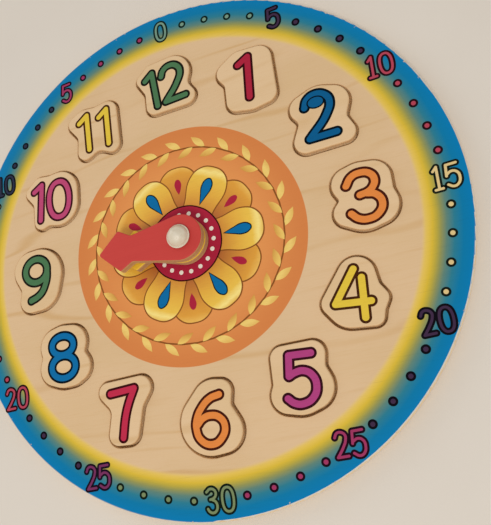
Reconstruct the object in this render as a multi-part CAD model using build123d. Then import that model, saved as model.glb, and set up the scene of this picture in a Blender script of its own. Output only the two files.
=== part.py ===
"""Wooden learning clock: a round two-layer plywood board with twelve lift-out
numeral pieces and two hands that turn on a central bolt.

Millimetres, +Z up. The clock lies on its back: +Z is the way the dial faces,
+Y points to twelve o'clock and +X to three o'clock. The origin is the middle
of the back face. Each sub-part is written to parts/NODE.step.
"""
import math
import os

from build123d import *

# Board: a thin backing layer and a thicker front layer with the cut-outs
board_radius = 150.0
board_rim_width = 31.0
back_thickness = 3.0
front_thickness = 5.0
board_edge_round = 1.0

# Numeral pieces, one at each hour, as large as the rim and the gaps between them leave
hours = range(1, 13)
numeral_gap = 11.25
numeral_thickness = 7.0
numeral_edge_round = 0.8
numeral_clearance = 1.4
cutout_edge_round = 0.4

# Centre bolt with its head sunk in the back, and the washers and nut on it
bolt_radius = 2.0
bolt_head_radius = 4.0
bolt_head_recess = 0.4
bolt_head_round = 0.6
bolt_end_length = 0.8
bolt_end_chamfer = 0.4
drive_slot_width = 1.0
drive_slot_length = 4.8
drive_slot_depth = 1.3
head_hole_clearance = 1.0
board_hole_clearance = 0.1
washer_radius = 6.0
washer_thickness = 0.8
washer_clearance = 0.15
nut_across_flats = 7.0
nut_height = 3.2
nut_clearance = 0.05
nut_corner_chamfer = 0.3

# Hands
hand_thickness = 5.0
hand_clearance = 0.08
hand_play = 0.1
hand_hub_radius = 13.0
hand_neck_width = 15.5
hand_neck_round = 3.5
hand_barb_width = 23.5
hand_corner_round = 1.5
hand_edge_round = 0.7
arrow_head_length = 12.7
arrow_back_length = 8.2
minute_hand_length = 49.7
hour_hand_length = 42.5
minute_hand_degrees = 178.6
hour_hand_degrees = 177.6

# Domed cap that hides the nut and stands on the upper washer, with a thin lip round its foot
cap_radius = 6.7
cap_lip_width = 0.6
cap_lip_height = 0.8
cap_lip_round = 0.3
cap_roof_thickness = 1.6
cap_bore_clearance = 0.1
cap_roof_gap = 0.3

# One overrun for every cut that goes right through
overrun = 5.0

# Height of the numeral pieces, which reach out to the rim, and the circle they are centred on
numerals_outer_radius = board_radius - board_rim_width
half_step_sine = math.sin(math.pi / len(hours))
numeral_height = (2 * numerals_outer_radius * half_step_sine - numeral_gap) / (1 + half_step_sine)
numeral_circle_radius = numerals_outer_radius - numeral_height / 2

# Levels above the back face, each resting on the one before
front_top = back_thickness + front_thickness
hour_hand_bottom = front_top + washer_thickness + hand_play
middle_washer_bottom = hour_hand_bottom + hand_thickness + hand_play
minute_hand_bottom = middle_washer_bottom + washer_thickness + hand_play
minute_hand_top = minute_hand_bottom + hand_thickness
upper_washer_bottom = minute_hand_top + hand_play
nut_bottom = upper_washer_bottom + washer_thickness
bolt_end = nut_bottom + nut_height + bolt_end_length

# Outline of each numeral piece: the discs that a tight belt would run round,
# clockwise from the upper left, as x, y and radius in shares of the numeral
# height, from the point on the numeral circle. A radius below zero is a notch
# that the belt passes on its outer side.
outline_shares = {
    1: [(-0.275, 0.225, 0.165), (-0.07, 0.26, 0.245), (0.185, 0.285, 0.205), (0.22, -0.265, 0.165),
        (0.015, -0.17, 0.29), (-0.195, -0.26, 0.16), (-0.465, 0.0, -0.12)],
    2: [(-0.21, 0.22, 0.19), (0, 0.13, 0.35), (0.165, 0.19, 0.24), (0.445, -0.055, -0.11),
        (0.26, -0.28, 0.15), (-0.245, -0.27, 0.17), (-0.41, 0.01, -0.095)],
    3: [(-0.15, 0.22, 0.225), (-0.01, 0.12, 0.355), (0.14, 0.215, 0.24), (0.455, 0.035, -0.08),
        (0.15, -0.145, 0.262), (-0.005, -0.07, 0.37), (-0.23, -0.16, 0.18), (-0.37, 0.035, -0.055)],
    4: [(0.05, 0.25, 0.235), (0.435, 0.135, -0.135), (0.275, -0.085, 0.115), (0.42, -0.285, -0.11),
        (0.175, -0.305, 0.12), (-0.065, -0.08, 0.32), (-0.285, -0.05, 0.155)],
    5: [(-0.145, 0.29, 0.16), (0.24, 0.29, 0.165), (0.48, 0.125, -0.1), (0.155, -0.115, 0.29),
        (0.02, -0.08, 0.365), (-0.14, -0.185, 0.225), (-0.385, -0.01, -0.07)],
    6: [(0.2, 0.35, 0.155), (0.435, 0.175, -0.11), (0.15, -0.15, 0.29), (0.015, -0.035, 0.42),
        (0.09, 0.215, 0.305)],
    7: [(-0.215, 0.255, 0.14), (0.29, 0.255, 0.16), (0.555, -0.12, -0.275), (0.035, -0.32, 0.175),
        (-0.105, -0.345, 0.145), (-0.35, -0.05, -0.16)],
    8: [(-0.095, 0.155, 0.27), (0.02, 0.09, 0.36), (0.15, 0.18, 0.255), (0.435, 0.02, -0.065),
        (0.215, -0.185, 0.23), (0.11, -0.14, 0.32), (0.005, -0.09, 0.375), (-0.13, -0.16, 0.26),
        (-0.435, 0.03, -0.09)],
    9: [(-0.125, 0.185, 0.3), (0, 0.08, 0.41), (-0.005, -0.115, 0.36), (-0.16, -0.295, 0.185),
        (-0.435, -0.13, -0.12)],
    10: [(-0.34, 0.205, 0.115), (-0.185, 0.285, 0.15), (-0.015, 0.565, -0.15), (0.14, 0.1, 0.33),
         (0.125, -0.105, 0.335), (-0.07, -0.545, -0.14), (-0.205, -0.31, 0.125), (-0.465, -0.055, -0.14)],
    11: [(-0.36, 0.235, 0.13), (-0.215, 0.3, 0.14), (-0.02, 0.57, -0.15), (0.2, 0.28, 0.17),
         (0.235, -0.28, 0.135), (0.005, -0.505, -0.17), (-0.225, -0.28, 0.135), (-0.49, -0.065, -0.15)],
    12: [(-0.37, 0.245, 0.105), (-0.23, 0.355, 0.11), (0.11, 0.2, 0.285), (0.49, -0.01, -0.145),
         (0.285, -0.23, 0.145), (-0.22, -0.235, 0.14), (-0.52, -0.045, -0.165)],
}


def on_circle(centre_x, centre_y, radius, angle):
    """The point of a circle at an angle in radians from +X."""
    return centre_x + radius * math.cos(angle), centre_y + radius * math.sin(angle)


def belt_run_angle(disc, following):
    """Angle at which a clockwise belt leaves one disc for the next one."""
    across, up = following[0] - disc[0], following[1] - disc[1]
    lean = math.acos((disc[2] - following[2]) / math.hypot(across, up))
    return math.atan2(up, across) + lean


def belt_face(discs):
    """Flat face inside a belt that runs clockwise round discs of (x, y, radius)."""
    pairs = zip(discs, discs[1:] + discs[:1])
    leaving = [belt_run_angle(disc, following) for disc, following in pairs]
    edges = []
    for index, (x, y, radius) in enumerate(discs):
        following = discs[(index + 1) % len(discs)]
        arrive, leave = leaving[index - 1], leaving[index]
        way = math.copysign(1, radius)
        turn = way * ((way * (arrive - leave)) % (2 * math.pi))
        start = on_circle(x, y, radius, arrive)
        middle = on_circle(x, y, radius, arrive - turn / 2)
        end = on_circle(x, y, radius, leave)
        edges.append(ThreePointArc(start, middle, end))
        edges.append(Line(end, on_circle(*following, leave)))
    return make_face(edges)


def numeral_discs(hour, clearance):
    """Discs of an hour's outline in the board's plane, grown by a clearance."""
    angle = math.pi / 2 - 2 * math.pi * hour / len(hours)
    home_x, home_y = on_circle(0, 0, numeral_circle_radius, angle)
    return [
        (home_x + x * numeral_height, home_y + y * numeral_height, r * numeral_height + clearance)
        for x, y, r in outline_shares[hour]
    ]


def hand_discs(length):
    """Discs of an arrow-shaped hand that points along +X from its bolt."""
    barb_x = length - arrow_head_length
    neck_x = barb_x - arrow_back_length
    barb_y = hand_barb_width / 2 - hand_corner_round
    notch_y = hand_neck_width / 2 + hand_neck_round
    return [
        (0, 0, hand_hub_radius),
        (neck_x, notch_y, -hand_neck_round),
        (barb_x, barb_y, hand_corner_round),
        (length - hand_corner_round, 0, hand_corner_round),
        (barb_x, -barb_y, hand_corner_round),
        (neck_x, -notch_y, -hand_neck_round),
    ]


def plate(face, bottom, thickness):
    """A flat face made into a plate that starts at a level."""
    return extrude(Pos(0, 0, bottom) * face, thickness)


def top_face(shape):
    """The highest face of a shape."""
    return shape.faces().sort_by(Axis.Z)[-1]


def bottom_face(shape):
    """The lowest face of a shape."""
    return shape.faces().sort_by(Axis.Z)[0]


def bore(radius):
    """A cutter on the clock's axis, longer than the clock is thick."""
    length = bolt_end + 2 * overrun
    return Pos(0, 0, bolt_end / 2) * Cylinder(radius, length)


def make_back_board():
    """Backing layer, with the hole that holds the bolt's head."""
    board = plate(Circle(board_radius), 0, back_thickness)
    board = fillet(bottom_face(board).edges(), board_edge_round)
    return board - bore(bolt_head_radius + head_hole_clearance)


def make_front_board():
    """Front layer: a cut-out for each numeral piece and a hole for the bolt."""
    board = plate(Circle(board_radius), back_thickness, front_thickness)
    for hour in hours:
        opening = belt_face(numeral_discs(hour, numeral_clearance))
        board -= plate(opening, back_thickness - overrun, front_thickness + 2 * overrun)
    board = fillet(top_face(board).inner_wires().edges(), cutout_edge_round)
    board = fillet(top_face(board).outer_wire().edges(), board_edge_round)
    return board - bore(bolt_radius + board_hole_clearance)


def make_numeral(hour):
    """Loose plywood piece of one hour, rounded along its top edge."""
    piece = plate(belt_face(numeral_discs(hour, 0)), back_thickness, numeral_thickness)
    return fillet(top_face(piece).edges(), numeral_edge_round)


def make_hand(length, bottom, degrees):
    """Arrow-shaped hand, rounded along its top edge, turned to where it points."""
    hand = plate(belt_face(hand_discs(length)), bottom, hand_thickness)
    hand = fillet(top_face(hand).edges(), hand_edge_round)
    hand -= bore(bolt_radius + hand_clearance)
    return Rot(0, 0, degrees) * hand


def make_bolt():
    """Bolt whose head lies in the back board, under the front board."""
    head = plate(Circle(bolt_head_radius), bolt_head_recess, back_thickness - bolt_head_recess)
    head = fillet(bottom_face(head).edges(), bolt_head_round)
    shank = plate(Circle(bolt_radius), back_thickness, bolt_end - back_thickness)
    shank = chamfer(top_face(shank).edges(), bolt_end_chamfer)
    slot_middle = bolt_head_recess + drive_slot_depth - overrun / 2
    slot = Pos(0, 0, slot_middle) * Box(drive_slot_length, drive_slot_width, overrun)
    return head + shank - slot - Rot(0, 0, 90) * slot


def make_washer(bottom):
    """Thin washer on the bolt."""
    ring = Circle(washer_radius) - Circle(bolt_radius + washer_clearance)
    return plate(ring, bottom, washer_thickness)


def make_nut():
    """Hexagon nut with its corners taken off."""
    nut = plate(RegularPolygon(nut_across_flats / 2, 6, major_radius=False), nut_bottom, nut_height)
    corner_radius = nut_across_flats / math.sqrt(3)
    turned = plate(Circle(corner_radius), nut_bottom, nut_height)
    turned = chamfer(turned.edges().filter_by(GeomType.CIRCLE), nut_corner_chamfer)
    return (nut & turned) - bore(bolt_radius + nut_clearance)


def make_cap():
    """Domed cap with a lip round its foot, hollow over the nut and the bolt's end."""
    dome_radius = cap_radius - cap_lip_width
    lip_top = nut_bottom + cap_lip_height
    end_bore_top = bolt_end + cap_roof_gap
    crown = end_bore_top + cap_roof_thickness
    profile = make_face([
        Line((0, nut_bottom), (cap_radius, nut_bottom)),
        Line((cap_radius, nut_bottom), (cap_radius, lip_top)),
        Line((cap_radius, lip_top), (dome_radius, lip_top)),
        SagittaArc((dome_radius, lip_top), (-dome_radius, lip_top), lip_top - crown).trim(0, 1 / 2),
        Line((0, crown), (0, nut_bottom)),
    ])
    cap = revolve(Plane.XZ * profile, Axis.Z)
    rim_edges = cap.edges().filter_by(GeomType.CIRCLE).group_by(SortBy.RADIUS)[-1]
    cap = fillet(rim_edges, cap_lip_round)
    nut_bore_top = nut_bottom + nut_height + cap_roof_gap
    bore_bottom = nut_bottom - overrun
    for radius, bore_top in ((nut_across_flats / math.sqrt(3), nut_bore_top), (bolt_radius, end_bore_top)):
        cap -= plate(Circle(radius + cap_bore_clearance), bore_bottom, bore_top - bore_bottom)
    return cap


def make_clock():
    """Every node of the clock, by name."""
    nodes = {"back_board": make_back_board(), "front_board": make_front_board()}
    for hour in hours:
        nodes[f"numeral_{hour:02d}"] = make_numeral(hour)
    nodes["hour_hand"] = make_hand(hour_hand_length, hour_hand_bottom, hour_hand_degrees)
    nodes["minute_hand"] = make_hand(minute_hand_length, minute_hand_bottom, minute_hand_degrees)
    nodes["centre_bolt"] = make_bolt()
    nodes["lower_washer"] = make_washer(front_top)
    nodes["middle_washer"] = make_washer(middle_washer_bottom)
    nodes["upper_washer"] = make_washer(upper_washer_bottom)
    nodes["hex_nut"] = make_nut()
    nodes["nut_cap"] = make_cap()
    return nodes


os.makedirs("parts", exist_ok=True)
for name, shape in make_clock().items():
    export_step(shape, f"parts/{name}.step")
    print(name, round(shape.volume, 1))
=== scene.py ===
# %% [markdown]
# # A wooden learning clock
#
# The clock is a round plywood board, 300 mm across, with twelve loose numeral
# pieces in cut-outs and two arrow-shaped hands on a capped bolt. Its wooden
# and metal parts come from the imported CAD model. This lesson prints, paints
# and varnishes them: every number, dot and petal is a thin layer of ink on
# the wood, and every part gets its own finish.

# %% Load the frame
import math

import bpy
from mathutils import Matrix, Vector


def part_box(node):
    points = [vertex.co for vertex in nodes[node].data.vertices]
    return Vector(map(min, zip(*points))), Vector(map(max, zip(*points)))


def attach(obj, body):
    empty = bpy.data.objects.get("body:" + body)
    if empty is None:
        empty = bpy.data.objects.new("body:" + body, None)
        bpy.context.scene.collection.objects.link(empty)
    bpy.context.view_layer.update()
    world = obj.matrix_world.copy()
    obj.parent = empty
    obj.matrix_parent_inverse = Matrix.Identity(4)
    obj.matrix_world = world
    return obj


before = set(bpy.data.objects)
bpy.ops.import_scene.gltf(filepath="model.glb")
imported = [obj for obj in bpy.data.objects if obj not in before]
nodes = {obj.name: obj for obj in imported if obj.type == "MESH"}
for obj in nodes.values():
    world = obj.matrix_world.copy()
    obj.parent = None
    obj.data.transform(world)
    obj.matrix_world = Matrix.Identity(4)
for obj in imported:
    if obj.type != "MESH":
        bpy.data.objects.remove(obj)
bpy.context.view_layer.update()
bpy.ops.object.select_all(action="DESELECT")

# %% [markdown]
# ## Camera
#
# The photograph was taken from close by, about 30 cm above the board and
# below its lower right, so the far side looks smaller. The sixty minute dots
# lie on one circle at equal steps, and the place, turn and lens below are the
# ones that put all of them where the photograph has them. A small shift slides
# the picture's frame without changing that view.

# %% Set the camera
millimetre = 0.001
camera_place = Vector((112.1, -114.1, 303.8))
camera_turns = (10.90, 20.00, -8.18)
focal_length_pixels = 593
photo_height_pixels = 525

bpy.ops.object.camera_add(
    location=camera_place * millimetre,
    rotation=[math.radians(turn) for turn in camera_turns],
)
camera = bpy.context.object
camera.data.sensor_width = 36
camera.data.lens = focal_length_pixels / photo_height_pixels * camera.data.sensor_width
camera.data.shift_x = 0.0486
camera.data.shift_y = 0.079
bpy.context.scene.camera = camera
print("camera", round(camera.location.length, 3), "m from the middle of the back")

# %% [markdown]
# ## Light and floor
#
# A soft lamp stands below the six and shines up the dial, as in the photograph:
# the numeral pieces' lower sides are lit and a dark line lies above each of
# them. The world and a second, weaker lamp at the upper left fill the shadows,
# so that the walls of the cut-outs stay brown and don't turn black. Together
# they are just strong enough for a colour to come out as it is written. The
# floor is a wide pale plane with a faint unevenness, so the clock has something
# to throw its shadow on.

# %% Light the scene
scene = bpy.context.scene
scene.view_settings.view_transform = "Standard"
scene.world = bpy.data.worlds.new("soft_room")
scene.world.use_nodes = True
room_light = scene.world.node_tree.nodes["Background"].inputs
room_light["Color"].default_value = (1.0, 0.985, 0.96, 1)
room_light["Strength"].default_value = 0.60


def hang_lamp(place, size, energy):
    """A round soft lamp that shines at the clock; its place and size are in metres."""
    place = Vector(place)
    turn = place.to_track_quat("Z", "Y").to_euler()
    bpy.ops.object.light_add(type="AREA", location=place, rotation=turn)
    lamp = bpy.context.object.data
    lamp.shape = "DISK"
    lamp.size = size
    lamp.energy = energy
    lamp.color = (1.0, 0.965, 0.91)
    print("lamp", lamp.energy, "W at", tuple(place))


hang_lamp((0.1, -1.1, 1.6), size=0.6, energy=13.5)
hang_lamp((-1.5, 1.0, 0.9), size=1.2, energy=5)

# %% [markdown]
# ## Nodes as sums
#
# Finishes are worked out from numbers such as a point's distance from the
# middle. Written as a row of Math nodes, a sum is hard to read. The small
# class below wraps one socket, so plain Python sums add those nodes, and its
# method called node adds any other.

# %% A socket that can be used in sums
class Shade:
    """One output socket of a material's nodes."""

    def __init__(self, tree, socket):
        self.tree, self.socket = tree, socket

    def node(self, kind, settings=None, sockets=None, out=0):
        """Add a node: its settings come first, then its sockets' values or links."""
        made = self.tree.nodes.new(kind)
        for name, value in (settings or {}).items():
            if name == "stops":
                for spare in list(made.color_ramp.elements)[1:]:
                    made.color_ramp.elements.remove(spare)
                for position, colour in value:
                    made.color_ramp.elements.new(position).color = colour
                made.color_ramp.elements.remove(made.color_ramp.elements[0])
            else:
                setattr(made, name, value)
        for name, value in (sockets or {}).items():
            if isinstance(value, Shade):
                self.tree.links.new(value.socket, made.inputs[name])
            else:
                made.inputs[name].default_value = value
        return Shade(self.tree, made.outputs[out])

    def sum_of(self, operation, *values):
        return self.node("ShaderNodeMath", {"operation": operation}, dict(enumerate(values)))

    def __add__(self, other):
        return self.sum_of("ADD", self, other)

    def __sub__(self, other):
        return self.sum_of("SUBTRACT", self, other)

    def __rsub__(self, other):
        return self.sum_of("SUBTRACT", other, self)

    def __mul__(self, other):
        return self.sum_of("MULTIPLY", self, other)

    def __truediv__(self, other):
        return self.sum_of("DIVIDE", self, other)

    def __pow__(self, other):
        return self.sum_of("POWER", self, other)

    def __abs__(self):
        return self.sum_of("ABSOLUTE", self)

    def fraction(self):
        return self.sum_of("FRACT", self)

    __radd__ = __add__
    __rmul__ = __mul__


def axes(vector):
    """The three numbers of a vector socket."""
    outputs = vector.node("ShaderNodeSeparateXYZ", None, {0: vector}).socket.node.outputs
    return [Shade(vector.tree, outputs[axis]) for axis in "XYZ"]


print("sums ready")

# %% [markdown]
# ## Small patterns
#
# A soft step turns a number into a mask from 0 to 1. A cloud pattern can be
# stretched, which makes fibres out of blotches, and shifted, so that two
# clouds differ. Colours are given as 0 to 255, as a paint chart would, and
# turned into the linear numbers that Blender uses.

# %% Steps, clouds and colours
def step(value, low, high):
    """0 up to one number, 1 from another, smooth between them."""
    limits = {"Value": value, "From Min": low, "From Max": high}
    return value.node("ShaderNodeMapRange", {"interpolation_type": "SMOOTHSTEP"}, limits)


def cloud(place, features, detail=2.0, shift=0.0):
    """Cloudy pattern from 0 to 1, with so many features per millimetre, or so many along each axis."""
    if not isinstance(features, tuple):
        features = (features, features, features)
    offset = (shift, shift * 0.7, shift * 1.3)
    moved = place.node("ShaderNodeMapping", None, {"Vector": place, "Location": offset, "Scale": features})
    return place.node("ShaderNodeTexNoise", None, {"Vector": moved, "Scale": 1.0, "Detail": detail})


def mix(amount, first, second):
    """One colour laid over another by an amount from 0 to 1."""
    sockets = {0: amount, 6: first, 7: second}
    return amount.node("ShaderNodeMix", {"data_type": "RGBA"}, sockets, out=2)


def paint_colour(red, green, blue):
    """A colour of the paint chart as linear red, green, blue and alpha."""
    chart = [channel / 255 for channel in (red, green, blue)]
    return [c / 12.92 if c <= 0.04045 else ((c + 0.055) / 1.055) ** 2.4 for c in chart] + [1.0]


print("mid grey is", round(paint_colour(128, 128, 128)[0], 3))

# %% [markdown]
# ## Starting and ending a finish
#
# Every finish reads Object coordinates, here turned into millimetres, so
# nothing stretches or slides when a piece moves. The height pattern goes
# through a Bump node and stays within tenths of a millimetre, as varnish,
# sanded wood and moulded plastic do.

# %% Start and end a finish
def start_finish(name):
    """A new material, and its points in millimetres."""
    material = bpy.data.materials.new(name)
    material.use_nodes = True
    point = Shade(material.node_tree, None).node("ShaderNodeTexCoord", out="Object")
    place = point.node("ShaderNodeMapping", None, {"Vector": point, "Scale": (1000, 1000, 1000)})
    return material, place


def upward(place):
    """How far the surface faces up: 1 on a level top, 0 on an upright side, -1 underneath."""
    return axes(place.node("ShaderNodeTexCoord", out="Normal"))[2]


def end_finish(place, colour, roughness, relief, relief_depth, **constants):
    """Give the surface its colour, roughness and relief, in millimetres."""
    skin = place.tree.nodes["Principled BSDF"]
    sockets = {"Strength": 1.0, "Distance": relief_depth * millimetre, "Height": relief}
    bump = place.node("ShaderNodeBump", None, sockets)
    for name, value in (("Base Color", colour), ("Roughness", roughness), ("Normal", bump)):
        if isinstance(value, Shade):
            place.tree.links.new(value.socket, skin.inputs[name])
        else:
            skin.inputs[name].default_value = value
    for name, value in constants.items():
        skin.inputs[name.replace("_", " ")].default_value = value


print("finishes start from Object coordinates")

# %% [markdown]
# ## The floor
#
# A plain pale sheet, four metres wide, a hair below the clock's back. Its tone
# wavers by a few percent over hand-sized patches, so that it does not look
# computed.

# %% Lay the floor
floor_width = 4000
floor_gap = 0.2
bpy.ops.mesh.primitive_plane_add(
    size=floor_width * millimetre, location=(0, 0, -floor_gap * millimetre)
)
floor = bpy.context.object
floor.name = "floor"
floor_finish, place = start_finish("pale_floor")
floor_tone = mix(cloud(place, 0.008, 4), paint_colour(214, 205, 194), paint_colour(224, 216, 206))
end_finish(place, floor_tone, 0.8, cloud(place, 0.9, 3), 0.05)
floor.data.materials.append(floor_finish)
print("floor", tuple(round(side, 2) for side in floor.dimensions))

# %% [markdown]
# ## Plywood
#
# The board is cut from pale softwood ply. Its face shows thin brown growth
# lines that run along x, sway and fade, with fine fibres between them. The
# lines repeat at even steps over y, and two clouds that are stretched along
# the grain bend and crowd them. The sides show the plies that the sheet is
# glued from: every other ply is cut across its grain and looks darker and
# rougher. All that is sawn below the level of the board's face is painted
# paler. This is painted fill light, which keeps the deep walls of the
# cut-outs from going dark in their shade.

# %% Grain of a sanded face
growth_line_spacing = 15
sway_reach = 46
crowding_reach = 34
fibre_features = (0.09, 2.6, 2.6)


def sanded_face(place, shift, pale, line_colour):
    """Colour and height of a sanded face whose grain runs along x."""
    sway = cloud(place, (0.006, 0.018, 0.018), 2, shift)
    crowding = cloud(place, (0.002, 0.035, 0.035), 1, shift + 5)
    bent = (axes(place)[1] + sway * sway_reach + crowding * crowding_reach) / growth_line_spacing
    lines = step(abs(bent.fraction() - 0.5), 0.36, 0.49)
    lines = lines * step(cloud(place, (0.009, 0.04, 0.04), 3, shift + 9), 0.4, 0.7)
    fibres = cloud(place, fibre_features, 4, shift + 2)
    patches = cloud(place, (0.012, 0.03, 0.03), 3, shift + 17)
    warm = [pale[0] * 0.9, pale[1] * 0.88, pale[2] * 0.76, 1.0]
    colour = mix(step(patches, 0.3, 0.75) * 0.5, pale, warm)
    colour = mix(lines * 0.6, colour, line_colour)
    colour = mix(step(fibres, 0.45, 0.8) * 0.2, colour, line_colour)
    return colour, fibres * 0.6 - lines * 0.4


print("growth lines", growth_line_spacing, "mm apart")


# %% Plies of a sawn side
def levels_of(node):
    """The level of a CAD node's underside and its thickness, in millimetres."""
    low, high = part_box(node)
    return low.z / millimetre, (high.z - low.z) / millimetre


board_bottom, board_thickness = levels_of("front_board")
board_top = board_bottom + board_thickness
# Below this level the sawn sides get painted fill light.
painted_fill_top = board_top - 1.5


def sawn_side(place, bottom, thickness, plies):
    """Colour and height of a side that starts at a level, in millimetres."""
    level = axes(place)[2]
    ply = (level - bottom) * (plies / thickness)
    cross_ply = step((ply * 0.5).fraction(), 0.46, 0.54)
    glue = step(abs(ply.fraction() - 0.5), 0.43, 0.5)
    pores = cloud(place, (1.1, 1.1, 3.2), 4, 3)
    scorch = cloud(place, (0.25, 0.25, 0.1), 2, 11)
    # Painted fill light: below the board's face the sides are painted paler, so the shaded walls of the
    # cut-outs stay light.
    painted_fill_below_face = 1 - step(level, painted_fill_top, board_top)
    colour = mix(cross_ply, paint_colour(228, 192, 146), paint_colour(214, 174, 126))
    colour = mix(step(pores, 0.42, 0.75) * 0.35, colour, paint_colour(184, 142, 98))
    colour = mix(glue * 0.35, colour, paint_colour(160, 118, 78))
    colour = mix(step(scorch, 0.5, 0.8) * 0.25, colour, paint_colour(186, 142, 98))
    colour = mix(painted_fill_below_face * 0.75, colour, paint_colour(246, 222, 182))
    return colour, pores - glue * 0.3


print("the board's face lies at level", round(board_top, 2))

# %% [markdown]
# ## One plywood finish for many parts
#
# Faces and sides are told apart by the direction that the surface faces. The
# sides' mask has a slightly ragged border, because sanding wears the rounded
# edge unevenly.

# %% Make a bare plywood finish
pale_wood = paint_colour(221, 189, 150)
backing_wood = paint_colour(205, 166, 118)
growth_line = paint_colour(202, 160, 104)


def plywood(node, place, shift, plies, pale=pale_wood):
    """Colour and height of a CAD node's bare plywood, and how much a point belongs to its faces."""
    on_face = step(abs(upward(place)) + cloud(place, 0.8, 2, 4) * 0.1, 0.55, 0.8)
    face_colour, face_height = sanded_face(place, shift, pale, growth_line)
    side_colour, side_height = sawn_side(place, *levels_of(node), plies)
    colour = mix(on_face, side_colour, face_colour)
    height = face_height * on_face + side_height * 1.6 * (1 - on_face)
    return colour, height, on_face


def bare_plywood(name, node, shift, plies, pale):
    """Material of unprinted plywood, cut from the same sheet as a CAD node."""
    material, place = start_finish(name)
    colour, height, on_face = plywood(node, place, shift, plies, pale)
    end_finish(place, colour, 0.66 - on_face * 0.1, height, 0.06, Specular_IOR_Level=0.2)
    return material


def dress(node, material):
    """Give a CAD node its finish."""
    mesh = nodes[node].data
    mesh.materials.clear()
    mesh.materials.append(material)


dress("back_board", bare_plywood("backing_plywood", "back_board", shift=40, plies=3, pale=backing_wood))
print("back board", nodes["back_board"].data.materials[0].name)

# %% [markdown]
# ## The printed board
#
# The print on the board's face is a set of rings. The middle is an orange disc
# with a crisp edge. Near the rim the bare wood gives way to yellow, which is
# airbrushed into blue through greyish green. All of it depends on the distance
# from the middle, so one colour ramp draws the rim. The ink is thin, so the
# wood's fibres still show in it, and at the very edge it is worn off.

# %% Print the board's face
board_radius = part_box("front_board")[1].x / millimetre
rim_breadth = 30.0
rim_start = board_radius - rim_breadth
first_ink = rim_start + 4.6
full_ink = rim_start + 7.2
disc_middle = Vector((-1.3, 0.2))
disc_radius = 70.0
disc_pale_radius = 38.0


def distance_from(place, middle):
    """Distance of a point from an upright line, in millimetres."""
    x, y = axes(place)[:2]
    return ((x - middle[0]) ** 2 + (y - middle[1]) ** 2) ** 0.5


printed_board, place = start_finish("printed_plywood")
colour, height = plywood("front_board", place, shift=0, plies=3)[:2]
radius = distance_from(place, (0, 0))
drift = cloud(place, 0.03, 3, 21) * 2 - 1
rim_stops = [
    (millimetres / rim_breadth, paint_colour(*tone))
    for millimetres, tone in (
        (5.0, (228, 196, 122)),
        (8.0, (226, 192, 84)),
        (10.0, (216, 184, 60)),
        (12.0, (186, 168, 66)),
        (14.0, (146, 148, 88)),
        (16.5, (96, 132, 120)),
        (20.0, (44, 124, 146)),
        (24.0, (8, 120, 168)),
        (30.0, (0, 122, 182)),
    )
]
across_rim = (radius + drift - rim_start) / rim_breadth
rim_colour = place.node("ShaderNodeValToRGB", {"stops": rim_stops}, {"Fac": across_rim})
rim_cover = step(radius + drift * 0.3, first_ink, full_ink)
disc_distance = distance_from(place, disc_middle)
disc_cover = 1 - step(disc_distance, disc_radius - 0.15, disc_radius + 0.15)
to_disc_edge = step(disc_distance, disc_pale_radius, disc_radius)
disc_colour = mix(to_disc_edge, paint_colour(228, 151, 86), paint_colour(213, 130, 72))
print("rim print from", round(rim_start, 1), "mm out, disc", disc_radius, "mm in radius")

# %% [markdown]
# The ink ends on the board's rounded outer edge. A thin whitish line of primer
# shows there, and a few small chips reach into the blue. Both come from how
# steep the edge is, moved in and out by a cloud. On the left a faint whitish
# line runs along the whole edge: a painted highlight on the rounded edge,
# drawn in the primer's colour.

# %% Wear the board's edge, paint a highlight on its left and finish it
chips = cloud(place, 0.35, 4, 31)
steepness = upward(place) - step(chips, 0.62, 0.78) * 0.18
at_rim = step(radius, board_radius - 2.2, board_radius - 1.6)
upper = step(upward(place), 0.4, 0.6)
wear_and_highlight = at_rim * (1 - step(steepness, 0.84, 0.94))
# Painted highlight: a faint whitish line along the rounded edge on the left, added to the wear mask.
on_left = 1 - step(axes(place)[0], -110, 10)
left_edge_highlight = step(radius, board_radius - 1.0, board_radius - 0.6) * on_left * 0.55
wear_and_highlight = wear_and_highlight.sum_of("MAXIMUM", wear_and_highlight, left_edge_highlight)
ink_cover = upper * (1 - wear_and_highlight)
fibre_show = step(cloud(place, fibre_features, 4, 2), 0.5, 0.9)
inked = mix(rim_cover, colour, mix(fibre_show * 0.16, rim_colour, paint_colour(20, 40, 60)))
inked = mix(disc_cover, inked, mix(fibre_show * 0.12, disc_colour, paint_colour(150, 80, 40)))
primer = mix(step(chips, 0.55, 0.7) * 0.5, paint_colour(214, 208, 196), paint_colour(190, 160, 122))
edge_colour = mix(upper * wear_and_highlight, colour, primer)
board_colour = mix(ink_cover, edge_colour, inked)
any_ink = ink_cover * rim_cover.sum_of("MAXIMUM", rim_cover, disc_cover)
end_finish(place, board_colour, 0.58, height * (1 - any_ink * 0.55), 0.06, Specular_IOR_Level=0.07)
dress("front_board", printed_board)
print("front board printed")

# %% [markdown]
# ## Numeral pieces and hands
#
# The numeral pieces are cut from a thicker sheet of the same kind, so their
# grain starts elsewhere and they have five plies. The hands have opaque paint
# on top, which the rounded edge still carries, and bare sawn sides.

# %% Dress the numeral pieces
numeral_names = [f"numeral_{hour:02d}" for hour in range(1, 13)]
numeral_wood = paint_colour(225, 193, 153)
numeral_finish = bare_plywood("numeral_plywood", numeral_names[0], shift=73, plies=5, pale=numeral_wood)
for name in numeral_names:
    dress(name, numeral_finish)
print(len(numeral_names), "numeral pieces")


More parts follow.
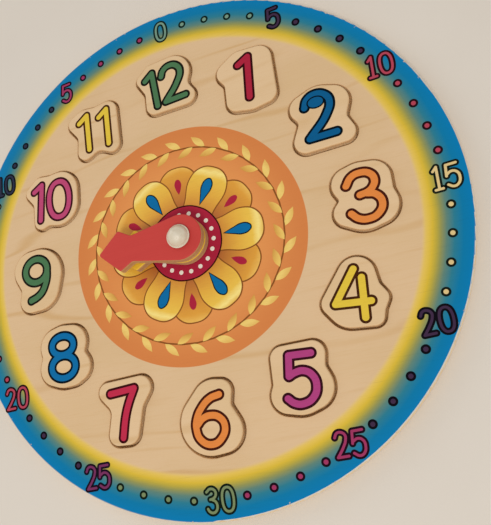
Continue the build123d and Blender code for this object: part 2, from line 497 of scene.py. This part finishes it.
# %% Paint the hands
def painted_hand(name, node, top_colour, shade_colour):
    """Paint on a hand's top, with bare plies on its sides."""
    material, place = start_finish(name)
    colour, height, on_face = plywood(node, place, shift=120, plies=3)
    colour = mix((1 - on_face) * 0.5, colour, paint_colour(168, 116, 66))
    brushed = cloud(place, (0.05, 1.4, 1.4), 4, 6)
    scuffs = cloud(place, 0.4, 5, 14)
    rubbed_colour = [part * 1.25 for part in top_colour[:3]] + [1.0]
    paint = mix(step(brushed, 0.4, 0.8) * 0.25, top_colour, shade_colour)
    paint = mix(step(scuffs, 0.62, 0.8) * 0.15, paint, rubbed_colour)
    painted = step(upward(place) + scuffs * 0.2, 0.35, 0.6)
    end_finish(
        place,
        mix(painted, colour, paint),
        0.6 - painted * 0.16 + step(scuffs, 0.55, 0.8) * 0.1,
        height * (1 - painted * 0.85) + painted * scuffs * 0.2,
        0.05,
        Specular_IOR_Level=0.2,
    )
    dress(node, material)
    print(node, "painted")


painted_hand("red_painted_plywood", "minute_hand", paint_colour(199, 65, 60), paint_colour(185, 53, 51))
painted_hand("yellow_painted_plywood", "hour_hand", paint_colour(234, 188, 52), paint_colour(214, 162, 36))

# %% [markdown]
# ## Cap, washers and bolt
#
# The cap is off-white moulded plastic, a little pearly and slightly uneven on
# top. The washers are plain nylon. Bolt and nut are zinc-plated steel, whose
# plating is cloudy and finely scratched.

# %% Finish the hardware
cap_plastic, place = start_finish("pearl_plastic")
dimples = {"Vector": place, "Scale": 0.42}
hammered = place.node("ShaderNodeTexVoronoi", {"feature": "SMOOTH_F1"}, dimples)
pearl = mix(cloud(place, 0.3, 3, 2), paint_colour(226, 216, 196), paint_colour(206, 192, 168))
pearl = mix(step(hammered, 0.3, 0.9) * 0.35, pearl, paint_colour(236, 230, 218))
end_finish(place, pearl, 0.3 + cloud(place, 0.8, 3, 8) * 0.12, hammered, 0.35)
dress("nut_cap", cap_plastic)

nylon, place = start_finish("white_nylon")
nylon_tone = mix(cloud(place, 0.5, 3), paint_colour(226, 224, 216), paint_colour(212, 208, 198))
end_finish(place, nylon_tone, 0.45, cloud(place, 2.5, 3), 0.02)
for name in ("lower_washer", "middle_washer", "upper_washer"):
    dress(name, nylon)

zinc, place = start_finish("zinc_steel")
plating = cloud(place, 0.6, 4)
scratches = cloud(place, (0.3, 6, 6), 3, 5)
zinc_tone = mix(plating, paint_colour(196, 198, 200), paint_colour(168, 172, 178))
end_finish(place, zinc_tone, 0.28 + step(scratches, 0.4, 0.8) * 0.2, scratches, 0.01, Metallic=1.0)
for name in ("centre_bolt", "hex_nut"):
    dress(name, zinc)
print("hardware finished")

# %% [markdown]
# ## Ink
#
# Printed figures have a near-black outline with a hint of their own colour,
# and a fill in which the fibres of the wood show faintly. The figures on the
# rim have darker, cooler outlines than the big ones. Each ink is made once and
# shared.

# %% Make an ink
ink_fibre_features = (0.16, 2.2, 2.2)
ink_shine = 0.08
outline_shine = 0.04


def ink(name, tone, shine=ink_shine):
    """Printed ink with faint fibres and specks in it."""
    material, place = start_finish(name)
    fibres = cloud(place, ink_fibre_features, 4, 2)
    specks = cloud(place, 1.6, 3, 7)
    full = paint_colour(*tone)
    thin = [part * 0.8 for part in full[:3]] + [1.0]
    bright = [part * 1.12 + 0.01 for part in full[:3]] + [1.0]
    colour = mix(step(fibres, 0.35, 0.8) * 0.5, full, thin)
    colour = mix(step(specks, 0.6, 0.8) * 0.2, colour, bright)
    end_finish(place, colour, 0.52 + specks * 0.1, fibres, 0.012, Specular_IOR_Level=shine)
    return material


# %% Mix the figures' inks
ink_tones = {
    "crimson": (173, 34, 61),
    "blue": (4, 91, 142),
    "orange": (228, 136, 66),
    "yellow": (228, 196, 66),
    "purple": (176, 65, 127),
    "violet": (118, 48, 94),
    "rose": (180, 68, 88),
    "sky": (4, 109, 168),
    "green": (75, 119, 81),
    "magenta": (190, 72, 117),
    "raspberry": (193, 45, 76),
    "moss": (122, 138, 97),
    "sage": (118, 152, 134),
    "cream": (224, 197, 138),
    "plum": (63, 42, 70),
    "berry": (160, 54, 98),
    "navy": (38, 45, 70),
}
rim_outline_tones = {
    "moss": (10, 26, 18),
    "sage": (8, 32, 26),
    "cream": (18, 26, 20),
    "rose": (34, 10, 20),
    "berry": (28, 8, 24),
    "violet": (22, 10, 28),
    "plum": (12, 8, 18),
    "navy": (10, 12, 22),
}
outline_shares = (0.3, 0.17, 0.19)

inks, outlines = {}, {}
for name, tone in ink_tones.items():
    darkened = [channel * share for channel, share in zip(tone, outline_shares)]
    inks[name] = ink(f"{name}_ink", tone)
    outlines[name] = ink(f"{name}_outline", rim_outline_tones.get(name, darkened), outline_shine)
print(len(inks), "inks and as many outlines")

# %% [markdown]
# ## Drawing a line of ink
#
# A printed stroke is as wide all along and round at its ends. On screen it is
# a curve that is clicked point by point along the stroke's middle, thickened
# to a tall ribbon with rounded edges, with an upright drum at each end, and
# then pressed flat until it is a film about a tenth of a millimetre thick. The
# drums also make round corners where two strokes meet. They are a little lower
# than the ribbon, and each stroke's are lower than the last one's, because two
# surfaces at the very same height would show through each other in dark specks.

# %% Draw lines
def draw_line(points, closed=False, tips=()):
    """A smooth curve clicked point by point, in millimetres, with a corner at each tip."""
    bpy.ops.object.select_all(action="DESELECT")
    bpy.ops.curve.primitive_bezier_curve_add(enter_editmode=True)
    bpy.ops.curve.select_all(action="SELECT")
    bpy.ops.curve.delete(type="VERT")
    for x, y in points:
        bpy.ops.curve.vertex_add(location=(x * millimetre, y * millimetre, 0))
    bpy.ops.curve.select_all(action="SELECT")
    bpy.ops.curve.handle_type_set(type="AUTOMATIC")
    if closed:
        bpy.ops.curve.cyclic_toggle()
    if tips:
        bpy.ops.curve.select_all(action="DESELECT")
        for tip in tips:
            bpy.context.object.data.splines[0].bezier_points[tip].select_control_point = True
        bpy.ops.curve.handle_type_set(type="VECTOR")
    bpy.ops.object.mode_set(mode="OBJECT")
    return bpy.context.object


def draw_oval(middle, half_width, half_height, lean=0.0):
    """A closed oval curve, leaning by some degrees, in millimetres."""
    bpy.ops.object.select_all(action="DESELECT")
    bpy.ops.curve.primitive_bezier_circle_add(radius=millimetre, enter_editmode=True)
    bpy.ops.transform.resize(value=(half_width, half_height, 1), center_override=(0, 0, 0))
    bpy.ops.transform.rotate(value=math.radians(lean), orient_axis="Z", center_override=(0, 0, 0))
    bpy.ops.transform.translate(value=(middle[0] * millimetre, middle[1] * millimetre, 0))
    bpy.ops.object.mode_set(mode="OBJECT")
    return bpy.context.object


# %% Thicken and join lines
curve_steps = 10
first_drum_height = 0.99
drum_height_step = 0.05


def thicken(line, width, drum_height=first_drum_height):
    """Turn a curve into a round-ended ribbon, twice as tall as wide; returns its pieces."""
    points = [point.co.copy() for point in line.data.splines[0].bezier_points]
    closed = line.data.splines[0].use_cyclic_u
    line.data.bevel_depth = width / 2 * millimetre
    line.data.extrude = width / 2 * millimetre
    line.data.bevel_resolution = 2
    line.data.resolution_u = curve_steps
    line.data.use_fill_caps = not closed
    bpy.ops.object.convert(target="MESH")
    pieces = [bpy.context.object]
    drum_depth = 2 * width * drum_height * millimetre
    ends = () if closed else (points[0], points[-1])
    for end in ends:
        bpy.ops.mesh.primitive_cylinder_add(
            vertices=40, radius=width / 2 * millimetre, depth=drum_depth, location=end
        )
        pieces.append(bpy.context.object)
    return pieces


def join(name, pieces):
    """Join pieces into one object at the origin, each with its place and turn in its mesh."""
    bpy.ops.object.select_all(action="DESELECT")
    for piece in pieces:
        piece.select_set(True)
    bpy.context.view_layer.objects.active = pieces[0]
    bpy.ops.object.transform_apply(location=True, rotation=True, scale=True)
    if len(pieces) > 1:
        bpy.ops.object.join()
    pieces[0].name = name
    return pieces[0]


# %% Press and place a film
def press(piece, half_thickness):
    """Press a piece flat about the level z = 0, in millimetres."""
    bpy.ops.object.select_all(action="DESELECT")
    piece.select_set(True)
    bpy.context.view_layer.objects.active = piece
    squeeze = half_thickness * millimetre / (piece.dimensions.z / 2)
    bpy.ops.object.mode_set(mode="EDIT")
    bpy.ops.mesh.select_all(action="SELECT")
    bpy.ops.transform.resize(value=(1, 1, squeeze), center_override=(0, 0, 0))
    bpy.ops.object.mode_set(mode="OBJECT")
    bpy.ops.object.shade_smooth_by_angle(angle=math.radians(30))


def carry(piece, x, y, z):
    """Move a piece's mesh, in millimetres, and leave its object at the origin."""
    bpy.ops.object.select_all(action="DESELECT")
    piece.select_set(True)
    bpy.context.view_layer.objects.active = piece
    bpy.ops.object.mode_set(mode="EDIT")
    bpy.ops.mesh.select_all(action="SELECT")
    bpy.ops.transform.translate(value=(x * millimetre, y * millimetre, z * millimetre))
    bpy.ops.object.mode_set(mode="OBJECT")


print("strokes can be drawn, thickened, joined, pressed and placed")

# %% [markdown]
# ## A figure in two films
#
# A digit is printed twice: first wide in the outline's ink, then narrower in
# its own colour. The second film is a little thicker, so it lies on top. Both
# are one object with two materials.

# %% Make a figure
outline_film = 0.04
colour_film = 0.08


def make_figure(name, strokes, ovals, width, outline, colour_name):
    """A printed figure at the origin: an outline film and a colour film on it."""
    films = []
    for film_width, thickness, shades in (
        (width, outline_film, outlines),
        (width - 2 * outline, colour_film, inks),
    ):
        pieces = []
        for number, points in enumerate(strokes):
            drum_height = first_drum_height - drum_height_step * number
            pieces += thicken(draw_line(points), film_width, drum_height)
        for oval in ovals:
            pieces += thicken(draw_oval(*oval), film_width)
        film = join(name, pieces)
        press(film, thickness)
        film.data.materials.clear()
        film.data.materials.append(shades[colour_name])
        films.append(film)
    return join(name, films)


print("a figure stands", colour_film, "mm out of the wood")

# %% [markdown]
# ## The twelve numerals
#
# The points below were read off enlarged views of the photograph, along the
# middle of each stroke, in millimetres from the middle of the piece. A digit
# with a sharp corner is two strokes that meet there. The zero, the eight and
# the bowl of the nine are ovals.

# %% Points of one to six
numeral_strokes = {
    1: ("crimson", (0.5, -0.1), [[(-4.7, 11.1), (1.5, 14.6)], [(1.5, 14.6), (-0.7, -10.7)]], []),
    2: ("blue", (0.4, -0.9), [
        [(-8.2, 9.0), (-6.3, 13.4), (-1.4, 15.5), (3.7, 13.4), (5.6, 9.2), (3.0, 2.3), (-8.3, -9.6)],
        [(-8.3, -9.6), (6.4, -9.5)],
    ], []),
    3: ("orange", (0.1, -0.1), [
        [(-7.7, 7.6), (-4.4, 11.8), (0.2, 13.0), (5.1, 11.3), (6.8, 7.4), (5.3, 3.8), (2.8, 2.0),
         (-1.7, 1.1)],
        [(1.8, 1.2), (6.0, -0.4), (8.4, -5.5), (5.5, -10.8), (0.2, -12.4), (-4.6, -11.0), (-7.7, -7.7)],
    ], []),
    4: ("yellow", (-0.1, 0.8), [
        [(1.3, 12.4), (-10.5, -3.7)], [(-10.5, -3.7), (7.0, -5.3)], [(4.5, 7.3), (2.8, -13.0)],
    ], []),
    5: ("purple", (1.9, -0.1), [
        [(7.3, 11.9), (-4.2, 12.5)], [(-4.2, 12.5), (-5.6, 2.1)],
        [(-5.6, 2.1), (-2.3, 3.5), (2.3, 3.7), (6.2, 0.9), (7.5, -4.6), (5.1, -9.9), (-0.5, -12.4),
         (-4.8, -11.5), (-7.9, -8.8)],
    ], []),
    6: ("orange", (1.1, 1.0), [
        [(6.3, 11.3), (0.9, 10.0), (-4.6, 5.5), (-7.8, 0.3), (-8.6, -4.2), (-6.6, -10.6), (-0.5, -13.5),
         (5.1, -10.6), (7.3, -5.1), (5.1, -0.5), (0.0, 1.3), (-4.4, 0.2), (-7.6, -2.6)],
    ], []),
}
print(len(numeral_strokes), "numerals so far")

# %% Points of seven to twelve
numeral_strokes.update({
    7: ("raspberry", (4.3, -1.5), [
        [(-11.1, 10.6), (3.8, 11.6)], [(3.8, 11.6), (-0.4, 3.7), (-2.9, -2.8), (-5.5, -14.1)],
    ], []),
    8: ("sky", (2.5, -0.6), [], [((-1.8, 6.6), 7.25, 5.6), ((-2.1, -6.0), 8.0, 6.6)]),
    9: ("green", (2.4, -0.8), [
        [(4.3, 6.0), (3.9, 0.9), (2.5, -3.2), (0.0, -7.3), (-3.7, -9.9), (-8.1, -11.3)],
    ], [((-3.35, 6.8), 7.8, 7.4)]),
    10: ("magenta", (2.3, -1.6), [
        [(-14.2, 9.7), (-8.4, 13.1)], [(-8.4, 13.1), (-10.8, -10.1)],
    ], [((3.5, 0.5), 7.2, 11.7, 2.0)]),
    11: ("yellow", (-0.4, -0.5), [
        [(-11.3, 9.0), (-5.6, 13.0)], [(-5.6, 13.0), (-5.6, -10.4)],
        [(2.7, 9.0), (8.3, 13.0)], [(8.3, 13.0), (8.1, -10.4)],
    ], []),
    12: ("green", (-0.05, 0.4), [
        [(-13.3, 7.9), (-8.3, 11.8)], [(-8.3, 11.8), (-6.8, -10.9)],
        [(-2.4, 7.3), (-1.0, 10.8), (3.7, 13.1), (8.5, 11.0), (9.9, 6.9), (7.3, 0.5), (-1.3, -10.0)],
        [(-1.3, -10.0), (11.6, -9.4)],
    ], []),
})
print(len(numeral_strokes), "numerals in all")

# %% Print the numerals on their pieces
numeral_ring = 99.0
stroke_width = 6.1
narrow_stroke_width = 5.7
stroke_outline = 1.3
numeral_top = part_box("numeral_12")[1].z / millimetre


def hour_spot(hour, ring):
    """Where an hour lies on a ring of the dial, in millimetres."""
    angle = math.radians(90 - 30 * hour)
    return ring * math.cos(angle), ring * math.sin(angle)


for hour, (colour_name, offset, strokes, ovals) in sorted(numeral_strokes.items()):
    name = f"numeral_{hour:02d}_print"
    width = stroke_width if hour < 10 else narrow_stroke_width
    figure = make_figure(name, strokes, ovals, width, stroke_outline, colour_name)
    x, y = hour_spot(hour, numeral_ring)
    carry(figure, x + offset[0], y + offset[1], numeral_top)
    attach(figure, f"numeral_{hour:02d}")
print("printed at level", round(numeral_top, 2))

# %% [markdown]
# ## The oval in the two
#
# The two has an oval in its hook, in the same blue with its own outline. It is
# a filled shape, so it is a curve with its inside filled, given a little
# thickness and made a mesh.

# %% Fill an outline
oval_middle = (-1.8, 10.6)
oval_half_width = 4.9
oval_half_height = 3.7
oval_outline = 0.8
oval_outline_film = 0.10
oval_colour_film = 0.13


def fill_shape(line, half_thickness, material):
    """A flat film inside a closed curve."""
    line.data.dimensions = "2D"
    line.data.fill_mode = "BOTH"
    line.data.extrude = half_thickness * millimetre
    line.data.resolution_u = curve_steps
    bpy.ops.object.convert(target="MESH")
    film = join("film", [bpy.context.object])
    bpy.ops.object.mode_set(mode="EDIT")
    bpy.ops.mesh.select_all(action="SELECT")
    bpy.ops.mesh.remove_doubles(threshold=0.000001)
    bpy.ops.mesh.normals_make_consistent(inside=False)
    bpy.ops.object.mode_set(mode="OBJECT")
    film.data.materials.clear()
    film.data.materials.append(material)
    return film


oval_spot = Vector(hour_spot(2, numeral_ring)) + Vector(numeral_strokes[2][1])
oval_line = draw_oval(oval_middle, oval_half_width, oval_half_height)
oval_films = [fill_shape(oval_line, oval_outline_film, outlines["blue"])]
oval_line = draw_oval(oval_middle, oval_half_width - oval_outline, oval_half_height - oval_outline)
oval_films.append(fill_shape(oval_line, oval_colour_film, inks["blue"]))
oval = join("numeral_02_oval", oval_films)
carry(oval, *oval_spot, numeral_top)
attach(oval, "numeral_02")
print("oval", len(oval.data.polygons), "faces")

# %% [markdown]
# ## The minute track
#
# Sixty places lie on a circle of 139.2 mm. Every fifth has a number, counted
# from nought at the top down both sides to thirty. The others have a dot in
# the colour of their stretch. One dot is modelled, an outline film and a colour
# film pressed from balls, and then copied to every place in its own ink.

# %% Print the minute dots
track_radius = 139.2
dot_radius = 2.4
dot_fill_radius = 1.38
stretch_colours = (
    "sage", "plum", "rose", "cream", "plum", "berry",
    "moss", "plum", "rose", "cream", "navy", "berry",
)


def copy_piece(piece):
    """A copy of a piece, with a mesh of its own."""
    copy = piece.copy()
    copy.data = piece.data.copy()
    bpy.context.collection.objects.link(copy)
    return copy


def copy_figure(figure, colour_name):
    """A copy of a printed figure, or of a dot, in another ink and its outline."""
    copy = copy_piece(figure)
    copy.data.materials[0] = outlines[colour_name]
    copy.data.materials[1] = inks[colour_name]
    return copy


def press_ball(radius, half_thickness, material):
    """A round film, pressed from a ball."""
    bpy.ops.mesh.primitive_uv_sphere_add(segments=20, ring_count=6, radius=radius * millimetre)
    disc = join("disc", [bpy.context.object])
    press(disc, half_thickness)
    disc.data.materials.append(material)
    return disc


first_dot = join("dot", [
    press_ball(dot_radius, outline_film, outlines["sage"]),
    press_ball(dot_fill_radius, colour_film, inks["sage"]),
])
dots = []
for minute in range(60):
    if minute % 5:
        angle = math.radians(90 - 6 * minute)
        dot = copy_figure(first_dot, stretch_colours[minute // 5])
        carry(dot, track_radius * math.cos(angle), track_radius * math.sin(angle), board_top)
        dots.append(dot)
bpy.data.objects.remove(first_dot)
minute_dots = join("minute_dots", dots)
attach(minute_dots, "clock_body")
print(len(dots), "dots,", len(minute_dots.data.materials), "inks")

# %% [markdown]
# ## Numbers on the rim
#
# The rim's digits are 15 mm tall. Their one has a small foot, and their five
# and three are narrower than the big ones. Points are in millimetres from the
# middle of each digit. Each of the five digits is modelled once, and its
# copies stand side by side in the numbers. Five of the twelve numbers are
# printed a little out of place, by up to 0.6 mm.

# %% Rim digits
rim_digits = {
    "0": ([], [((0, 0), 3.1, 5.9)]),
    "1": ([[(-1.3, 3.9), (0.6, 6.0)], [(0.6, 6.0), (0.1, -5.8)], [(-1.7, -5.9), (1.9, -5.8)]], []),
    "2": ([
        [(-2.6, 3.6), (-1.4, 5.6), (0.6, 5.9), (2.5, 4.4), (2.4, 1.9), (0.6, -1.6), (-2.5, -5.8)],
        [(-2.5, -5.8), (2.8, -5.6)],
    ], []),
    "3": ([
        [(-2.6, 4.5), (-0.4, 5.9), (2.0, 4.8), (2.2, 2.6), (0.6, 1.0), (-0.9, 0.7)],
        [(-0.2, 0.7), (1.8, -0.6), (2.5, -2.8), (1.6, -5.1), (-0.3, -5.9), (-2.2, -4.9), (-2.8, -3.8)],
    ], []),
    "5": ([
        [(2.5, 5.9), (-2.3, 5.7)], [(-2.3, 5.7), (-2.9, -0.1)],
        [(-2.6, 0.8), (-0.2, 2.0), (2.2, 1.0), (3.0, -1.9), (1.8, -5.1), (-0.4, -6.0), (-2.9, -4.6)],
    ], []),
}
digit_half_widths = {"0": 4.5, "1": 3.1, "2": 4.1, "3": 4.1, "5": 4.3}
digit_stroke_width = 3.5
digit_outline = 1.1

first_digits = {}
for digit, (strokes, ovals) in rim_digits.items():
    first_digits[digit] = make_figure("digit", strokes, ovals, digit_stroke_width, digit_outline, "sage")
print(len(first_digits), "digits modelled")

# %% Print the rim numbers
rim_numbers = (
    ("0", "sage"), ("5", "plum"), ("10", "rose"), ("15", "cream"), ("20", "plum"), ("25", "berry"),
    ("30", "moss"), ("25", "violet"), ("20", "rose"), ("15", "cream"), ("10", "navy"), ("5", "berry"),
)
misprints = {0: (0.1, -0.2), 10: (0.2, 0.4), 25: (0, 0.4), 35: (-0.3, 0.3), 40: (0, 0.6)}

for place_number, (text, colour_name) in enumerate(rim_numbers):
    minute = place_number * 5
    x, y = Vector(hour_spot(place_number, track_radius)) + Vector(misprints.get(minute, (0, 0)))
    left = -sum(digit_half_widths[digit] for digit in text)
    figures = []
    for digit in text:
        figure = copy_figure(first_digits[digit], colour_name)
        carry(figure, x + left + digit_half_widths[digit], y, board_top)
        left += 2 * digit_half_widths[digit]
        figures.append(figure)
    number = join(f"minute_number_{minute:02d}", figures)
    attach(number, "clock_body")
for first_digit in first_digits.values():
    bpy.data.objects.remove(first_digit)
print(len(rim_numbers), "rim numbers")

# %% [markdown]
# ## A rosette in the middle
#
# The orange disc carries a printed flower. Two layers of six gold petals make
# its twelve scallops, one for each hour. Between the petals and the hands'
# hub is a crimson ring with white beads, and round the flower runs a wreath of
# small leaves. Petals and leaves are closed curves with their insides filled,
# each drawn once, copied and turned into its places. Where two films overlap,
# the upper one is the thicker one.

# %% Gold that is airbrushed from the middle
spray_reach = 80


def airbrushed(name, stops):
    """Ink whose colour follows the distance from the disc's middle, in millimetres."""
    material, place = start_finish(name)
    ramp_stops = [(millimetres / spray_reach, paint_colour(*tone)) for millimetres, tone in stops]
    spray = cloud(place, 0.12, 3, 5) * 4 - 2
    reach = (distance_from(place, disc_middle) + spray) / spray_reach
    colour = place.node("ShaderNodeValToRGB", {"stops": ramp_stops}, {"Fac": reach})
    fibres = cloud(place, ink_fibre_features, 4, 2)
    colour = mix(step(fibres, 0.45, 0.85) * 0.14, colour, paint_colour(150, 90, 40))
    end_finish(place, colour, 0.4 + fibres * 0.08, fibres, 0.012)
    return material


lower_gold = airbrushed("lower_petal_ink", (
    (22, (176, 96, 24)), (34, (208, 136, 36)), (42, (222, 156, 44)), (46, (236, 186, 84)),
))
upper_gold = airbrushed("upper_petal_ink", (
    (20, (206, 130, 36)), (31, (228, 172, 52)), (40, (236, 192, 66)),
    (43.5, (250, 226, 132)), (46.5, (228, 176, 60)),
))
leaf_ink = airbrushed("leaf_ink", (
    (51, (206, 146, 52)), (56, (236, 196, 96)), (60, (240, 206, 112)), (66, (216, 160, 64)),
))
brown_ink = ink("brown_ink", (138, 82, 34))
white_ink = ink("white_ink", (240, 234, 220))
print("petal inks mixed")

# %% Draw the petals and turn them into their places
film_heights = {
    "lower_petal_edges": 0.04,
    "lower_petals": 0.08,
    "upper_petal_edges": 0.12,
    "upper_petals": 0.16,
    "drop_edges": 0.19,
    "drops": 0.22,
    "seeds": 0.11,
    "hub_ring_edge": 0.23,
    "hub_ring": 0.26,
    "beads": 0.3,
    "vine": 0.05,
    "leaves": 0.08,
}


def turned_films(name, outline, turns, material, tips=()):
    """Fill an outline with ink and copy it to each of its turns, in degrees."""
    first_film = fill_shape(draw_line(outline, True, tips), film_heights[name], material)
    films = []
    for turn in turns:
        film = copy_piece(first_film)
        film.rotation_euler.z = math.radians(turn)
        films.append(film)
    bpy.data.objects.remove(first_film)
    return films


def print_on_disc(name, films):
    """Join films into one piece and print it on the board, about the disc's middle."""
    piece = join(name, films)
    carry(piece, *disc_middle, board_top)
    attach(piece, "clock_body")


petal = [
    (10, -5.5), (24, -9.6), (36, -11.6), (43.5, -7.8), (46, 0),
    (43.5, 7.8), (36, 11.6), (24, 9.6), (10, 5.5),
]
petal_edge = [
    (9, -6), (24, -10.3), (36.2, -12.3), (44.1, -8.3), (46.7, 0),
    (44.1, 8.3), (36.2, 12.3), (24, 10.3), (9, 6),
]
on_the_hours = range(0, 360, 60)
between_the_hours = range(30, 360, 60)
for layer, turns, gold in (("lower", between_the_hours, lower_gold), ("upper", on_the_hours, upper_gold)):
    edges, petals = f"{layer}_petal_edges", f"{layer}_petals"
    print_on_disc(edges, turned_films(edges, petal_edge, turns, brown_ink))
    print_on_disc(petals, turned_films(petals, petal, turns, gold))
print("twelve petals")

# %% [markdown]
# A blue drop lies on each upper petal and a small crimson seed on each lower
# one. They have one sharp end, the tip that points to the middle.

# %% Drops and seeds
drop = [(24, 0), (29, -1.5), (34, -2.7), (37.6, -1.9), (39, 0), (37.6, 1.9), (34, 2.7), (29, 1.5)]
drop_edge = [(22.8, 0), (29, -2.1), (34, -3.4), (38.1, -2.4), (39.7, 0), (38.1, 2.4), (34, 3.4), (29, 2.1)]
seed = [(29.5, 0), (33, -1.6), (37, -1.9), (39, 0), (37, 1.9), (33, 1.6)]
for name, outline, turns, material in (
    ("drop_edges", drop_edge, on_the_hours, outlines["sky"]),
    ("drops", drop, on_the_hours, inks["sky"]),
    ("seeds", seed, between_the_hours, inks["crimson"]),
):
    print_on_disc(name, turned_films(name, outline, turns, material, tips=(0,)))
print("drops and seeds")

# %% [markdown]
# A crimson ring with a dark edge lies round the hands' hub. It is a closed
# curve through twelve points, one for each hour. Eighteen white beads lie on
# it, and each of them is a curve through six points.

# %% Ring and beads
hub_ring_radius = 21.4
hub_edge_growth = 1.035
bead_ring_radius = 17.2
bead_radius = 1.25

hour_angles = [hour * math.pi / 6 for hour in range(12)]
hub_ring = [(hub_ring_radius * math.cos(angle), hub_ring_radius * math.sin(angle)) for angle in hour_angles]
hub_edge = [(x * hub_edge_growth, y * hub_edge_growth) for x, y in hub_ring]
bead = [
    (bead_ring_radius + bead_radius * math.cos(1.05 * corner), bead_radius * math.sin(1.05 * corner))
    for corner in range(6)
]
for name, outline, turns, material in (
    ("hub_ring_edge", hub_edge, [0], outlines["crimson"]),
    ("hub_ring", hub_ring, [0], inks["crimson"]),
    ("beads", bead, range(15, 375, 20), white_ink),
):
    print_on_disc(name, turned_films(name, outline, turns, material))
print("ring and beads")

# %% [markdown]
# The wreath is a thin brown vine, which is a thickened circle, with a leaf on
# either side of it at every fifteen degrees. Outer and inner leaves take turns.

# %% Wreath
vine_radius = 57.5
vine_width = 0.9
outer_leaf_ring = 60.6
inner_leaf_ring = 54.4
leaf_lean = 32
leaf_spacing = 15
leaf = [(-5.4, 0), (-2.4, 1.7), (1.2, 1.9), (5.8, 0), (1.2, -1.9), (-2.4, -1.7)]


def leaf_on_ring(radius, lean):
    """The outline of a leaf that points round a ring and leans by some degrees."""
    angle = math.radians(90 + lean)
    along = Vector((math.cos(angle), math.sin(angle)))
    across = Vector((-math.sin(angle), math.cos(angle)))
    return [Vector((radius, 0)) + along * x + across * y for x, y in leaf]


vine = join("vine", thicken(draw_oval((0, 0), vine_radius, vine_radius), vine_width))
press(vine, film_heights["vine"])
vine.data.materials.clear()
vine.data.materials.append(brown_ink)
print_on_disc("vine", [vine])

outer_turns = range(0, 360, leaf_spacing)
inner_turns = [turn + leaf_spacing / 2 for turn in outer_turns]
outer_leaf = leaf_on_ring(outer_leaf_ring, -leaf_lean)
inner_leaf = leaf_on_ring(inner_leaf_ring, leaf_lean)
leaves = turned_films("leaves", outer_leaf, outer_turns, leaf_ink, tips=(0, 3))
leaves += turned_films("leaves", inner_leaf, inner_turns, leaf_ink, tips=(0, 3))
print(len(leaves), "leaves")
print_on_disc("leaves", leaves)
